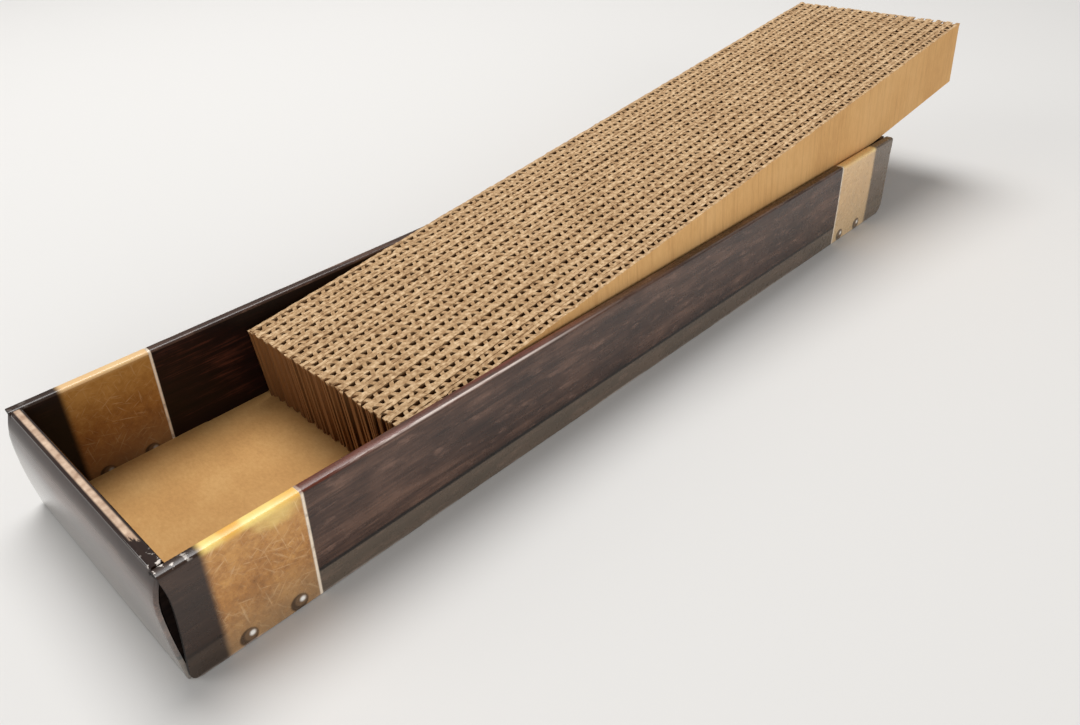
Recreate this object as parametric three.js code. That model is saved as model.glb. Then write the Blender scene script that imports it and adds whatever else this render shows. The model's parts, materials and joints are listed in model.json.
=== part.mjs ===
// Cat scratching board: a pad of corrugated strips, propped up in a long tray of folded printed board.
// Millimetres, +Z up. The origin is the middle of the tray's underside, and +X runs from the low front
// end to the rear end, where the pad leans on the rim. The right-hand wall is on the -Y side.
import * as THREE from 'three';

// Tray
const trayLength = 480;
const trayWidth = 126;
const trayHeight = 48;
const boardThickness = 1.5;
const baseThickness = 2;
const layerGap = 0.3; // play between layers of board that lie against each other
const endWallThickness = 5; // a rolled end, from its outer face to its inner face
const rimEdgeRadius = 0.7; // outer crease of the rolled rim

// Open seams at the corners, where an end panel swells out and the long walls' edges draw back
const frontSwell = 2.8;
const rearSwell = 0.8;
const frontDrawBack = 1.8;
const rearDrawBack = 0.5;
const swellBelowRim = 12.5; // depth of the fullest point under the rim panel
const swellSteps = 8;

// Rounded lower corners of the long walls
const frontFootRadius = 4;
const rearFootRadius = 6.5;
const footSteps = 4;

// Corner flaps, folded off the ends and tucked into the long walls
const flapLength = 44;
const flapTopGap = 3;
const flapCornerCut = 6;

// Locking tabs at the foot of the inner walls, and their slots in the base
const sideTabCount = 3;
const sideTabWidth = 36;
const sideTabPitch = 148;
const endTabWidth = 40;
const tabTaper = 3;
const tabRecess = 0.4; // tip of a tab above the underside
const slotPlay = 0.4;

// Scratching pad
const padHeight = 38.5;
const padEndPlay = 1; // at each end, when the pad lies flat in the tray
const padSidePlay = 5; // both sides together, at the least
const padRightGap = 1.1; // from the right inner wall
const padFootFromFront = 105; // low edge of the pad, from the tray's front
const stripThickness = 6.05;
const linerThickness = 0.8;
const flutePitch = 11;
const fluteSheet = 0.8; // fluted sheet, measured across the strip
const glueGap = 0.3; // glue line between a crest and the liner beside it
const stripEndBond = 1.2; // closed length at each end of a strip

// Worked out from the sizes above
const sideWallThickness = 3 * boardThickness + 2 * layerGap;
const panelHeight = trayHeight - boardThickness;
const swellHeight = panelHeight - swellBelowRim;
const frontX = -trayLength / 2;
const rearX = trayLength / 2;
const innerHalfWidth = trayWidth / 2 - sideWallThickness;
const padLength = trayLength - 2 * endWallThickness - 2 * padEndPlay;
const stripCount = Math.floor((2 * innerHalfWidth - padSidePlay - linerThickness) / stripThickness);
const fluteCount = Math.round(padLength / flutePitch);
const padFoot = new THREE.Vector2(frontX + padFootFromFront, baseThickness + glueGap);

const printedBoard = new THREE.MeshStandardMaterial({ color: 0x3c2d26, roughness: 0.35, metalness: 0 });
const kraftBoard = new THREE.MeshStandardMaterial({ color: 0xb88a55, roughness: 0.85, metalness: 0 });
const corrugatedBoard = new THREE.MeshStandardMaterial({ color: 0xc2a175, roughness: 0.9, metalness: 0 });

// Ways to stand an extruded outline: an (x, z) outline thickens towards -Y, a (y, z) outline towards +X
const alongTray = new THREE.Euler(Math.PI / 2, 0, 0);
const acrossTray = new THREE.Euler(Math.PI / 2, Math.PI / 2, 0);

function extruded(name, shape, depth, material) {
  const geometry = new THREE.ExtrudeGeometry(shape, { depth, bevelEnabled: false, curveSegments: 4 });
  const mesh = new THREE.Mesh(geometry, material);
  mesh.name = name;
  return mesh;
}

function outline(points) {
  return new THREE.Shape(points.map(([u, v]) => new THREE.Vector2(u, v)));
}

// Higher of a plate's two Y faces, for a plate that lies some way inside the left (1) or right (-1) face
function upperFaceY(side, inset, thickness) {
  return side > 0 ? trayWidth / 2 - inset : -trayWidth / 2 + inset + thickness;
}

function heightsBetween(low, high) {
  return Array.from({ length: swellSteps + 1 }, (_, i) => low + ((high - low) * i) / swellSteps);
}

// Share of the swell at a height: nothing at the foot and under the rim, all of it at swellHeight
function swellShare(z) {
  const run = z < swellHeight ? swellHeight : panelHeight - swellHeight;
  return Math.cos((Math.abs(z - swellHeight) / run) * (Math.PI / 2));
}

// Outer face of an end panel at a height; side is -1 at the front and 1 at the rear
function endFaceX(side, z) {
  const swell = side < 0 ? frontSwell : rearSwell;
  return side * (trayLength / 2 + swell * swellShare(z));
}

function tabCentres(count, pitch) {
  return Array.from({ length: count }, (_, i) => (i - (count - 1) / 2) * pitch);
}

// A wall panel with tapered tabs at its foot that pass through the base
function tabbedPanel(halfLength, centres, tabWidth) {
  const points = [[-halfLength, panelHeight], [-halfLength, baseThickness]];
  for (const centre of centres) {
    points.push([centre - tabWidth / 2, baseThickness]);
    points.push([centre - tabWidth / 2 + tabTaper, tabRecess]);
    points.push([centre + tabWidth / 2 - tabTaper, tabRecess]);
    points.push([centre + tabWidth / 2, baseThickness]);
  }
  points.push([halfLength, baseThickness], [halfLength, panelHeight]);
  return outline(points);
}

// Die-cut slot with round ends, for a tab of the given width; angle turns it from along X
function slot(centreX, centreY, tabWidth, angle) {
  const radius = boardThickness / 2 + slotPlay;
  const halfRun = new THREE.Vector2(tabWidth / 2, 0).rotateAround(new THREE.Vector2(), angle);
  const path = new THREE.Path();
  path.absarc(centreX + halfRun.x, centreY + halfRun.y, radius, angle - Math.PI / 2, angle + Math.PI / 2);
  path.absarc(centreX - halfRun.x, centreY - halfRun.y, radius, angle + Math.PI / 2, angle + Math.PI * 1.5);
  return path;
}

function basePanel() {
  const halfX = trayLength / 2 - boardThickness;
  const halfY = trayWidth / 2 - boardThickness;
  const shape = outline([[-halfX, -halfY], [halfX, -halfY], [halfX, halfY], [-halfX, halfY]]);
  const sideSlotY = innerHalfWidth + boardThickness / 2;
  const endSlotX = trayLength / 2 - endWallThickness + boardThickness / 2;
  for (const side of [-1, 1]) {
    for (const centre of tabCentres(sideTabCount, sideTabPitch)) {
      shape.holes.push(slot(centre, side * sideSlotY, sideTabWidth, 0));
    }
    shape.holes.push(slot(side * endSlotX, 0, endTabWidth, Math.PI / 2));
  }
  return extruded('base_panel', shape, baseThickness, kraftBoard);
}

// How far in an end edge of a long wall lies, from its rounded foot up to the rim, as [inset, height]
function wallEdge(footRadius, drawBack) {
  const foot = Array.from({ length: footSteps }, (_, i) => {
    const angle = (i / footSteps) * (Math.PI / 2);
    return { round: footRadius * (1 - Math.sin(angle)), z: footRadius * (1 - Math.cos(angle)) };
  });
  const above = heightsBetween(footRadius, panelHeight).map((z) => ({ round: 0, z }));
  return [...foot, ...above].map(({ round, z }) => [round + drawBack * swellShare(z), z]);
}

function outerWall(name, side) {
  const rearEdge = wallEdge(rearFootRadius, rearDrawBack).map(([inset, z]) => [rearX - inset, z]);
  const frontEdge = wallEdge(frontFootRadius, frontDrawBack).map(([inset, z]) => [frontX + inset, z]);
  const wall = extruded(name, outline([...rearEdge, ...frontEdge.reverse()]), boardThickness, printedBoard);
  wall.rotation.copy(alongTray);
  wall.position.y = upperFaceY(side, 0, boardThickness);
  return wall;
}

function innerWall(name, side) {
  const halfLength = trayLength / 2 - boardThickness - layerGap;
  const shape = tabbedPanel(halfLength, tabCentres(sideTabCount, sideTabPitch), sideTabWidth);
  const wall = extruded(name, shape, boardThickness, printedBoard);
  wall.rotation.copy(alongTray);
  wall.position.y = upperFaceY(side, sideWallThickness - boardThickness, boardThickness);
  return wall;
}

// Rim panel on top of a rolled wall: flat, with its two outer creases rounded
function rimSection(width) {
  const shape = new THREE.Shape();
  const arcHeight = boardThickness - rimEdgeRadius;
  shape.moveTo(0, 0);
  shape.lineTo(width, 0);
  shape.absarc(width - rimEdgeRadius, arcHeight, rimEdgeRadius, 0, Math.PI / 2, false);
  shape.absarc(rimEdgeRadius, arcHeight, rimEdgeRadius, Math.PI / 2, Math.PI, false);
  return shape;
}

function sideRim(name, side) {
  const rim = extruded(name, rimSection(sideWallThickness), trayLength, printedBoard);
  rim.rotation.copy(acrossTray);
  rim.position.set(frontX, upperFaceY(side, 0, sideWallThickness) - sideWallThickness, panelHeight);
  return rim;
}

function endRim(name, side) {
  const rim = extruded(name, rimSection(endWallThickness), 2 * innerHalfWidth, printedBoard);
  rim.rotation.copy(alongTray);
  rim.position.set(side < 0 ? frontX : rearX - endWallThickness, innerHalfWidth, panelHeight);
  return rim;
}

// End panel between the long walls, swollen outwards between its foot and the rim
function outerEnd(name, side) {
  const heights = heightsBetween(0, panelHeight);
  const outerFace = heights.map((z) => [endFaceX(side, z), z]);
  const innerFace = heights.map((z) => [endFaceX(side, z) - side * boardThickness, z]);
  const halfWidth = trayWidth / 2 - boardThickness - layerGap;
  const end = extruded(name, outline([...outerFace, ...innerFace.reverse()]), 2 * halfWidth, printedBoard);
  end.rotation.copy(alongTray);
  end.position.y = halfWidth;
  return end;
}

function innerEnd(name, side) {
  const shape = tabbedPanel(innerHalfWidth - layerGap, [0], endTabWidth);
  const end = extruded(name, shape, boardThickness, printedBoard);
  end.rotation.copy(acrossTray);
  end.position.x = side < 0 ? frontX + endWallThickness - boardThickness : rearX - endWallThickness;
  return end;
}

// Flap that starts behind a swollen end panel and lies between the layers of a long wall
function cornerFlap(name, end, side) {
  const low = baseThickness + layerGap;
  const high = panelHeight - flapTopGap;
  const tipX = end * (trayLength / 2 - flapLength);
  const shoulderX = tipX + end * flapCornerCut;
  const foldedEdge = heightsBetween(low, high).map((z) => {
    const x = endFaceX(end, z) - end * (boardThickness + layerGap);
    return [x, z];
  });
  const freeEdge = [[shoulderX, high], [tipX, high - flapCornerCut], [tipX, low + flapCornerCut], [shoulderX, low]];
  const flap = extruded(name, outline([...foldedEdge, ...freeEdge]), boardThickness, printedBoard);
  flap.rotation.copy(alongTray);
  flap.position.y = upperFaceY(side, boardThickness + layerGap, boardThickness);
  return flap;
}

// One strip of board on edge, seen from above: a liner, and a fluted sheet that zigzags beside it from
// end to end. Crests stop one glue line short of the next strip, valleys one short of the liner.
function stripSection() {
  const pitch = padLength / fluteCount;
  const crest = stripThickness - glueGap;
  const valley = linerThickness + glueGap;
  const climb = (crest - fluteSheet - valley) / (pitch / 2);
  const backFace = [[padLength, valley + fluteSheet]];
  const hollowFace = [[padLength - stripEndBond, valley + climb * stripEndBond]];
  for (let i = fluteCount - 1; i >= 0; i -= 1) {
    const crestX = (i + 0.5) * pitch;
    backFace.push([crestX, crest]);
    hollowFace.push([crestX, crest - fluteSheet]);
    if (i > 0) {
      backFace.push([i * pitch, valley + fluteSheet]);
      hollowFace.push([i * pitch, valley]);
    }
  }
  backFace.push([0, valley + fluteSheet]);
  hollowFace.push([stripEndBond, valley + climb * stripEndBond]);
  const section = outline([[0, 0], [padLength, 0], ...backFace]);
  const linerFace = [[stripEndBond, linerThickness], [padLength - stripEndBond, linerThickness]];
  section.holes.push(outline([...linerFace, ...hollowFace]));
  return section;
}

// The pad leans back until its underside lies one glue gap above the rounded inner edge of the rear rim
function padTilt() {
  const edgeX = rearX - endWallThickness + rimEdgeRadius - padFoot.x;
  const edgeZ = trayHeight - rimEdgeRadius - padFoot.y;
  const reach = Math.hypot(edgeX, edgeZ);
  return Math.atan2(edgeZ, edgeX) + Math.asin((rimEdgeRadius + glueGap) / reach);
}

function scratchingPad() {
  const pad = new THREE.Group();
  const section = stripSection();
  for (let i = 0; i < stripCount; i += 1) {
    const number = String(i + 1).padStart(2, '0');
    const strip = extruded(`pad_strip_${number}`, section, padHeight, corrugatedBoard);
    strip.position.y = i * stripThickness;
    pad.add(strip);
  }
  const coverOutline = outline([[0, 0], [padLength, 0], [padLength, linerThickness], [0, linerThickness]]);
  const cover = extruded('pad_cover_liner', coverOutline, padHeight, corrugatedBoard);
  cover.position.y = stripCount * stripThickness;
  pad.add(cover);
  pad.position.set(padFoot.x, padRightGap - innerHalfWidth, padFoot.y);
  pad.rotation.y = -padTilt();
  return pad;
}

function tray() {
  const group = new THREE.Group();
  group.add(basePanel());
  for (const [sideName, side] of [['left', 1], ['right', -1]]) {
    group.add(outerWall(`${sideName}_outer_wall`, side));
    group.add(sideRim(`${sideName}_rim`, side));
    group.add(innerWall(`${sideName}_inner_wall`, side));
  }
  for (const [endName, end] of [['front', -1], ['rear', 1]]) {
    group.add(outerEnd(`${endName}_outer_end`, end));
    group.add(endRim(`${endName}_rim`, end));
    group.add(innerEnd(`${endName}_inner_end`, end));
    group.add(cornerFlap(`${endName}_left_corner_flap`, end, 1));
    group.add(cornerFlap(`${endName}_right_corner_flap`, end, -1));
  }
  return group;
}

const scratchingBoard = new THREE.Group();
scratchingBoard.add(tray(), scratchingPad());

export default scratchingBoard;
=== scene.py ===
# Looks of a cat scratching board: a pad of corrugated strips, propped in a tray of printed board.
import json
import math
import random

import bmesh
import bpy
from mathutils import Euler, Matrix, Vector, noise


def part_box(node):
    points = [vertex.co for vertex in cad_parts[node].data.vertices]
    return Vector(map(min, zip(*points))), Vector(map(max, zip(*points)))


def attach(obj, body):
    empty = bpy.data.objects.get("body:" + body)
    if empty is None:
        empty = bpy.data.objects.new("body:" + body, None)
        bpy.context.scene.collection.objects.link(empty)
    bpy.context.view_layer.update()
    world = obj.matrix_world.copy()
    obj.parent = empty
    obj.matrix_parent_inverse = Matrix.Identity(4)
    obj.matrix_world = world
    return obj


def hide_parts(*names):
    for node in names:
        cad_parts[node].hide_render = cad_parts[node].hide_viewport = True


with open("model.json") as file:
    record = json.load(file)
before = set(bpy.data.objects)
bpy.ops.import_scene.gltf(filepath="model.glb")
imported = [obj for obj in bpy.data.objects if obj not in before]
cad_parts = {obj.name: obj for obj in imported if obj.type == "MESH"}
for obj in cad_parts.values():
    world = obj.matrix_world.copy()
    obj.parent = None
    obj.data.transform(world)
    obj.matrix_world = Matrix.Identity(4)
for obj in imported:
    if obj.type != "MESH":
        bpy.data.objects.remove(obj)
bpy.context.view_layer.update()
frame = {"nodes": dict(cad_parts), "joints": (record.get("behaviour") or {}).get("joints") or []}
scene = bpy.context.scene
scene.view_settings.view_transform = "Standard"
print("frame loaded,", len(frame["nodes"]), "nodes")

# Points closer than these lengths lie on the same line or are the same point
touching = 1e-5
welded = 1e-6
# What is turned to an axis by a cosine above this counts as lying along it
facing = 0.8
# Faces that meet at less than this angle are shaded as one surface
smoothAngle = math.radians(35)


# Colours are written as they look on a screen, 0 to 255
def tone(red, green, blue):
    linear = []
    for value in (red / 255, green / 255, blue / 255):
        linear.append(value / 12.92 if value <= 0.04045 else ((value + 0.055) / 1.055) ** 2.4)
    return (*linear, 1.0)


# One material and the short words that its nodes are built with
class Finish:
    def __init__(self, name):
        self.material = bpy.data.materials.new(name)
        self.material.use_nodes = True
        self.nodes = self.material.node_tree.nodes
        self.links = self.material.node_tree.links
        self.shader = self.nodes["Principled BSDF"]
        self.place = self.nodes.new("ShaderNodeTexCoord").outputs["Object"]

    def feed(self, socket, value):
        if isinstance(value, bpy.types.NodeSocket):
            self.links.new(value, socket)
        else:
            socket.default_value = value

    def math(self, operation, *values):
        node = self.nodes.new("ShaderNodeMath")
        node.operation = operation
        for socket, value in zip(node.inputs, values):
            self.feed(socket, value)
        return node.outputs[0]

    def both(self, *shares):
        product = shares[0]
        for share in shares[1:]:
            product = self.math("MULTIPLY", product, share)
        return product

    def either(self, *shares):
        highest = shares[0]
        for share in shares[1:]:
            highest = self.math("MAXIMUM", highest, share)
        return highest

    # smooth step from 0 at the first limit to 1 at the second
    def step(self, value, start, end):
        node = self.nodes.new("ShaderNodeMapRange")
        node.interpolation_type = "SMOOTHSTEP"
        for key, number in (("Value", value), ("From Min", start), ("From Max", end)):
            self.feed(node.inputs[key], number)
        return node.outputs["Result"]

    # 1 between two limits, with edges this soft
    def between(self, value, low, high, soft):
        rising = self.step(value, low - soft, low + soft)
        return self.both(rising, self.step(value, high + soft, high - soft))

    def axes(self, place=None):
        node = self.nodes.new("ShaderNodeSeparateXYZ")
        self.feed(node.inputs[0], place or self.place)
        return node.outputs

    # the place as seen from a frame that is moved, turned and measured in marks of this size
    def inFrame(self, size=(1, 1, 1), turn=(0, 0, 0), shift=(0, 0, 0), place=None):
        node = self.nodes.new("ShaderNodeMapping")
        node.vector_type = "TEXTURE"
        self.feed(node.inputs["Vector"], place or self.place)
        for key, value in (("Location", shift), ("Rotation", turn), ("Scale", size)):
            self.feed(node.inputs[key], value)
        return node.outputs[0]

    # noise whose marks have this size along each axis, in metres
    def marks(self, size, detail=4.0, rough=0.55, warp=0.0, turn=(0, 0, 0), shift=(0, 0, 0), place=None):
        size = (size, size, size) if isinstance(size, float) else size
        node = self.nodes.new("ShaderNodeTexNoise")
        self.feed(node.inputs["Vector"], self.inFrame(size, turn, shift, place))
        for key, value in (("Scale", 1.0), ("Detail", detail), ("Roughness", rough), ("Distortion", warp)):
            self.feed(node.inputs[key], value)
        return node.outputs["Fac"]

    def mix(self, share, first, second):
        node = self.nodes.new("ShaderNodeMix")
        node.data_type = "RGBA"
        for index, value in ((0, share), (6, first), (7, second)):
            self.feed(node.inputs[index], value)
        return node.outputs[2]

    def ramp(self, value, *stops):
        node = self.nodes.new("ShaderNodeValToRGB")
        self.feed(node.inputs[0], value)
        marks = node.color_ramp.elements
        while len(marks) < len(stops):
            marks.new(1.0)
        for mark, (position, colour) in zip(marks, stops):
            mark.position = position
            mark.color = colour
        return node.outputs[0]

    # one value for the whole surface
    def uniform(self, key, value):
        self.shader.inputs[key].default_value = value

    def done(self, colour, rough, height=None, depth=0.0, strength=0.5):
        self.feed(self.shader.inputs["Base Color"], colour)
        self.feed(self.shader.inputs["Roughness"], rough)
        if height is not None:
            bump = self.nodes.new("ShaderNodeBump")
            bump.inputs["Strength"].default_value = strength
            bump.inputs["Distance"].default_value = depth
            self.feed(bump.inputs["Height"], height)
            self.feed(self.shader.inputs["Normal"], bump.outputs[0])
        return self.material


def makePiece(name, shape, body, materials, nodes):
    mesh = bpy.data.meshes.new(name)
    shape.to_mesh(mesh)
    shape.free()
    for material in materials:
        mesh.materials.append(material)
    mesh.shade_smooth()
    mesh.set_sharp_from_angle(angle=smoothAngle)
    piece = bpy.data.objects.new(name, mesh)
    scene.collection.objects.link(piece)
    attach(piece, body)
    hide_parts(*nodes)


# Print on the tray's board: dark planks, and aged brass bands with rivets near the ends.
# The marks of the wood have a length along the planks and a width across them.
planks = {
    "grooveHeight": 0.0112,
    "grooveWidth": 0.0012,
    "grooveSoft": 0.0004,
    "grainSize": (0.085, 0.0058),
    "fibreSize": (0.017, 0.0007),
    "streakSize": (0.05, 0.0011),
    "rubbedSize": (0.016, 0.004),
    "streakShift": (7, 7, 7),
    "rubbedShift": (3, 3, 3),
    "blotchSize": 0.034,
    "patchSize": 0.004,
    "chipSize": 0.0022,
    "dark": tone(34, 18, 11),
    "middle": tone(64, 42, 31),
    "light": tone(104, 76, 61),
    "lower": tone(116, 106, 92),
    "streak": tone(144, 110, 93),
    "groove": tone(8, 5, 4),
    "corner": tone(36, 22, 12),
    # painted reflection: the dark rear corner zone drawn as a pale grey sheen
    "rearCorner": tone(114, 100, 84),
    # painted shade: the plank print on the inner faces, darker than the same print outside
    "inside": tone(15, 5, 3),
    "insideGrain": tone(30, 11, 7),
    "insideStreak": tone(86, 46, 33),
    "rimStain": tone(112, 54, 36),
    # painted reflection: the pale grey mixed into the lower front end
    "endReflection": tone(166, 168, 166),
    "worn": tone(236, 220, 210),
    "scuff": tone(232, 222, 212),
    "grainShare": 0.45,
    "fibreShare": 0.25,
    "blotchShare": 0.3,
    "streakFrom": (0.6, 0.74),
    "streakShare": 0.45,
    "rubbedFrom": (0.54, 0.66),
    "rubbedShare": 0.35,
    "lowerShare": 0.5,
    "grooveShare": 0.9,
    "cornerShare": 0.75,
    "chipFrom": (0.55, 0.63),
    "grainDepth": 0.00004,
    "rough": 0.2,
    "insideRough": 0.4,
    "roughSpread": 0.16,
    "specular": 0.5,
    "insideSpecular": 0.2,
}
metal = {
    "rightBands": ((-0.2252, -0.1889), (0.1795, 0.2180)),
    "leftBands": ((-0.2205, -0.1830), (0.1889, 0.2252)),
    "softEdge": 0.0017,
    "crispEdge": 0.00015,
    "lineWidth": 0.0011,
    "lineSoft": 0.0003,
    "rivetInset": 0.0080,
    "rivetSpacing": 0.0203,
    "rivetHeight": 0.0033,
    "innerRivetHeight": 0.0016,
    "rivetRadius": 0.0034,
    "rivetDome": tone(118, 92, 66),
    "rivetShine": tone(250, 246, 238),
    "rivetShadow": tone(46, 31, 20),
    "rivetShare": 0.85,
    # painted shade: rivet highlights weaker inside the tray
    "insideShine": 0.4,
    "cloudSize": 0.012,
    "mottleSize": 0.0021,
    "mottleShift": (2, 2, 2),
    "cloudShare": 0.6,
    "mottleShare": 0.4,
    # painted highlight: patches of glare on the brass rim
    "glareSize": (0.016, 0.05, 0.05),
    "glareShift": (0.004, 0, 0),
    "glareFrom": (0.42, 0.66),
    "scratchSize": (0.012, 1, 0.0009),
    "scratchTurns": (0.35, -0.5, 0.9, 1.4, 2.3),
    "scratchShift": 0.31,
    "scratchFrom": (0.6, 0.72),
    "scratchShare": 0.5,
    # painted light: the brass drawn lighter towards the top of the band
    "lighterUp": (0.012, 0.044),
    "lighterShare": 0.1,
    # painted reflection of the pale floor: the brass greyer towards the foot of the wall
    "reflectionDown": (0.028, 0.0),
    "reflectionShare": 0.58,
    "rimFrom": (0.0452, 0.0477),
    # painted shade and light inside the tray: inner brass darker, and lighter again towards its top
    "insidePaintedLightUp": (0.02, 0.046),
    "insideShare": 0.42,
    "insidePaintedLightShare": 0.4,
    "rearSheenShare": 0.5,
    "dark": tone(139, 91, 43),
    "middle": tone(173, 119, 61),
    "light": tone(201, 148, 83),
    "scratch": tone(232, 196, 148),
    # painted reflection: the grey that the brass takes near the foot
    "paintedReflection": tone(154, 129, 98),
    # painted light on the brass rim: the rim drawn lighter than the wall, with glare patches and a pale
    # sheen
    "rim": tone(242, 184, 88),
    "paintedGlare": tone(255, 226, 136),
    "rimSheen": tone(232, 196, 150),
    # painted shade: inner brass darker; painted light: its lighter top
    "inside": tone(112, 64, 14),
    "insidePaintedLight": tone(176, 130, 62),
    # painted reflection: the pale sheen on the rear brass
    "rearSheen": tone(240, 212, 166),
    # painted highlight: where the glare patch lies on the brass and how large it is
    "spotPlace": (-0.1985, 0, 0.0455),
    "spotSize": (0.011, 1, 0.0062),
    "spotUnevenness": 0.8,
    "spotFrom": (1.5, 0.2),
    "line": tone(250, 232, 208),
    "lineFrom": (0.1, 0.5),
    "lineShare": 0.9,
}


# Planks that run along x or y, and the shade of their grain
def plankColour(finish, along, z):
    def marksAlong(length, width, **more):
        size = (length, width, width) if along == "x" else (width, length, width)
        return finish.marks(size, **more)

    grain = marksAlong(*planks["grainSize"], detail=8, rough=0.64, warp=0.5)
    fibre = marksAlong(*planks["fibreSize"], detail=3)
    blotch = finish.marks(planks["blotchSize"], detail=4, rough=0.6)
    shade = finish.math("MULTIPLY", fibre, planks["fibreShare"])
    shade = finish.math("MULTIPLY_ADD", grain, planks["grainShare"], shade)
    shade = finish.math("MULTIPLY_ADD", blotch, planks["blotchShare"], shade)
    wood = finish.ramp(shade, (0.38, planks["dark"]), (0.5, planks["middle"]), (0.62, planks["light"]))
    streaks = marksAlong(*planks["streakSize"], detail=5, rough=0.7, shift=planks["streakShift"])
    streaks = finish.both(finish.step(streaks, *planks["streakFrom"]), planks["streakShare"])
    wood = finish.mix(streaks, wood, planks["streak"])
    rubbed = marksAlong(*planks["rubbedSize"], detail=7, rough=0.72, shift=planks["rubbedShift"])
    rubbed = finish.both(finish.step(rubbed, *planks["rubbedFrom"]), planks["rubbedShare"])
    wood = finish.mix(rubbed, wood, planks["streak"])
    height, soft = planks["grooveHeight"], planks["grooveSoft"]
    lower = finish.step(z, height + soft, height - soft)
    wood = finish.mix(finish.both(lower, planks["lowerShare"]), wood, planks["lower"])
    fromGroove = finish.math("ABSOLUTE", finish.math("SUBTRACT", z, height))
    groove = finish.step(fromGroove, planks["grooveWidth"], soft)
    return finish.mix(finish.both(groove, planks["grooveShare"]), wood, planks["groove"]), shade


def brassColour(finish, z, rimSheenShare):
    cloud = finish.marks(metal["cloudSize"], detail=10, rough=0.74)
    # painted light: the brass lighter towards its top
    paintedLightAtTop = finish.math("MULTIPLY", finish.step(z, *metal["lighterUp"]), metal["lighterShare"])
    mottle = finish.marks(metal["mottleSize"], detail=5, rough=0.68, shift=metal["mottleShift"])
    shade = finish.math("MULTIPLY_ADD", cloud, metal["cloudShare"], paintedLightAtTop)
    shade = finish.math("MULTIPLY_ADD", mottle, metal["mottleShare"], shade)
    brass = finish.ramp(shade, (0.4, metal["dark"]), (0.54, metal["middle"]), (0.67, metal["light"]))
    scratches = 0.0
    for number, turn in enumerate(metal["scratchTurns"]):
        shift = (number * metal["scratchShift"], 0, 0)
        line = finish.marks(metal["scratchSize"], detail=3, turn=(0, turn, 0), shift=shift, warp=0.4)
        scratches = finish.either(scratches, finish.step(line, *metal["scratchFrom"]))
    brass = finish.mix(finish.both(scratches, metal["scratchShare"]), brass, metal["scratch"])
    # painted reflection: the brass greyer towards the foot
    reflecting = finish.both(finish.step(z, *metal["reflectionDown"]), metal["reflectionShare"])
    brass = finish.mix(reflecting, brass, metal["paintedReflection"])
    # painted highlight: the brass rim lighter than the wall, with glare patches, and paler still where the
    # pale sheen is mixed in
    glare = finish.marks(metal["glareSize"], detail=2, shift=metal["glareShift"])
    glare = finish.step(glare, *metal["glareFrom"])
    rim = finish.mix(rimSheenShare, finish.mix(glare, metal["rim"], metal["paintedGlare"]), metal["rimSheen"])
    return finish.mix(finish.step(z, *metal["rimFrom"]), brass, rim)


# Discs of a printed rivet: where each is centred, along x and z, and its soft edge from outside in, in radii
rivetDiscs = {
    "dome": {"centre": (0.1, 0.06), "edge": (0.86, 0.6)},
    "shine": {"centre": (0.3, 0.12), "edge": (0.5, 0.12)},
    "shadow": {"centre": (-0.14, -0.1), "edge": (1.2, 0.92)},
}


# Shares of a row of printed rivets: dome, highlight and cast shadow
def rivetShares(finish, x, z, bands, height):
    frontFirst = bands[0][0] + metal["rivetInset"]
    rearFirst = bands[1][0] + metal["rivetInset"]
    isRear = finish.math("GREATER_THAN", x, 0.0)
    first = finish.math("MULTIPLY_ADD", isRear, rearFirst - frontFirst, frontFirst)
    half = metal["rivetSpacing"] / 2
    across = finish.math("WRAP", finish.math("SUBTRACT", x, first), half, -half)
    above = finish.math("SUBTRACT", z, height)
    radius = metal["rivetRadius"]
    shares = []
    for disc in rivetDiscs.values():
        right, up = disc["centre"]
        outside, inside = disc["edge"]
        sideways = finish.math("SUBTRACT", across, right * radius)
        upwards = finish.math("SUBTRACT", above, up * radius)
        square = finish.math("MULTIPLY", upwards, upwards)
        distance = finish.math("SQRT", finish.math("MULTIPLY_ADD", sideways, sideways, square))
        shares.append(finish.step(distance, outside * radius, inside * radius))
    return shares


# Where a long wall shows brass, where a corner beyond it, and where the pale line next to the planks
def bandShares(finish, x, bands):
    (frontCorner, frontPlank), (rearPlank, rearCorner) = bands
    soft, crisp = metal["softEdge"], metal["crispEdge"]
    width, lineSoft = metal["lineWidth"], metal["lineSoft"]
    inFront = finish.both(finish.step(x, frontCorner - soft, frontCorner + soft),
                          finish.step(x, frontPlank + crisp, frontPlank - crisp))
    inRear = finish.both(finish.step(x, rearCorner + soft, rearCorner - soft),
                         finish.step(x, rearPlank - crisp, rearPlank + crisp))
    atCorner = finish.either(finish.step(x, frontCorner + soft, frontCorner - soft),
                             finish.step(x, rearCorner - soft, rearCorner + soft))
    onLine = finish.either(finish.between(x, frontPlank, frontPlank + width, lineSoft),
                           finish.between(x, rearPlank - width, rearPlank, lineSoft))
    return finish.either(inFront, inRear), atCorner, onLine


def chipShare(finish):
    return finish.step(finish.marks(planks["chipSize"], detail=3), *planks["chipFrom"])


# How worn the print of each long wall is: chips at the front corner and a stained rim; also how strong the
# painted glare on its brass and the painted pale sheen on its brass rim are
wallWear = {
    "right": {"chips": 1.0, "glareSpot": 0.55, "stain": 0.8, "fade": 0.0},
    "left": {"chips": 0.1, "glareSpot": 0.0, "stain": 0.0, "fade": 0.75},
}

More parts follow.
